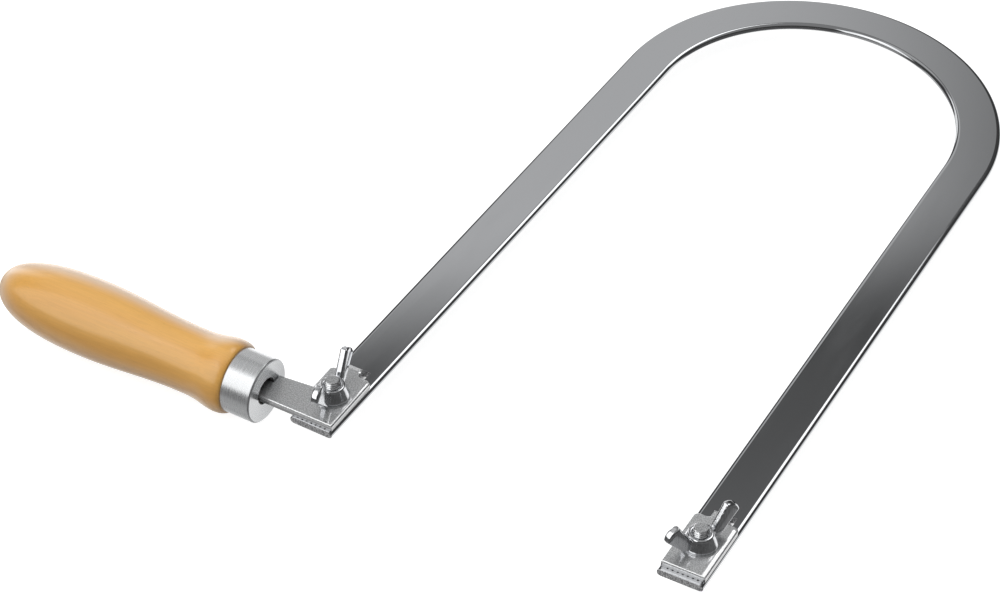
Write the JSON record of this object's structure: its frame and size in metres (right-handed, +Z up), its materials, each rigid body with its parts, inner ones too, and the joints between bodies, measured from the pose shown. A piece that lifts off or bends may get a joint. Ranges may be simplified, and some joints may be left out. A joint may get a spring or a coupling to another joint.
{
  "type": "fret saw",
  "caption": "Fret saw with a deep U-shaped bow of flat chromed bar, a toothed plate clamp with a wing nut on each tip, and a turned wooden handle on the bracket of one clamp.",
  "frame": {"origin": "middle of the blade line, on the face of the bow that the clamp plates press on", "axes": "+X along the blade, from the handle side to the free side; +Y from the blade to the arc of the bow; +Z up through the clamp bolts"},
  "size_m": [0.2549, 0.2877, 0.0256],
  "materials": {
    "chrome_bar": "polished hard chrome on steel",
    "zinc_plate": "satin zinc plating",
    "ferrule_steel": "drawn and zinc plated, fine turned lines",
    "lacquered_wood": "amber lacquer, semi-gloss",
    "zinc_bolt": "zinc plated",
    "bright_nut": "bright plated"
  },
  "bodies": {
    "bow": {"bow": "chrome_bar", "handle_clamp_bolt": "zinc_bolt", "free_clamp_bolt": "zinc_bolt"},
    "handle_side": {"handle_bracket": "zinc_plate", "ferrule": "ferrule_steel", "wood_handle": "lacquered_wood"},
    "handle_nut": {"handle_wing_nut": "bright_nut"},
    "free_jaw": {"free_clamp_plate": "zinc_plate"},
    "free_nut": {"free_wing_nut": "bright_nut"}
  },
  "joints": [
    {"name": "handle_side_clamp", "type": "slide", "parent": "bow", "child": "handle_side", "axis": [0, 0, 1], "range_m": [0, 0.0016]},
    {"name": "handle_nut_turn", "type": "hinge", "parent": "handle_side", "child": "handle_nut", "pos_m": [-0.06367, 0.0065, 0.0023], "axis": [0, 0, 1], "range_deg": [0, 720]},
    {"name": "free_jaw_clamp", "type": "slide", "parent": "bow", "child": "free_jaw", "axis": [0, 0, 1], "range_m": [0, 0.0016]},
    {"name": "free_nut_turn", "type": "hinge", "parent": "free_jaw", "child": "free_nut", "pos_m": [0.06366, 0.0074, 0.0023], "axis": [0, 0, 1], "range_deg": [0, 720]}
  ],
  "couplings": [
    {"joint": "handle_nut_turn", "follows": "handle_side_clamp", "rad_per_m": 7854},
    {"joint": "free_nut_turn", "follows": "free_jaw_clamp", "rad_per_m": 7854}
  ]
}
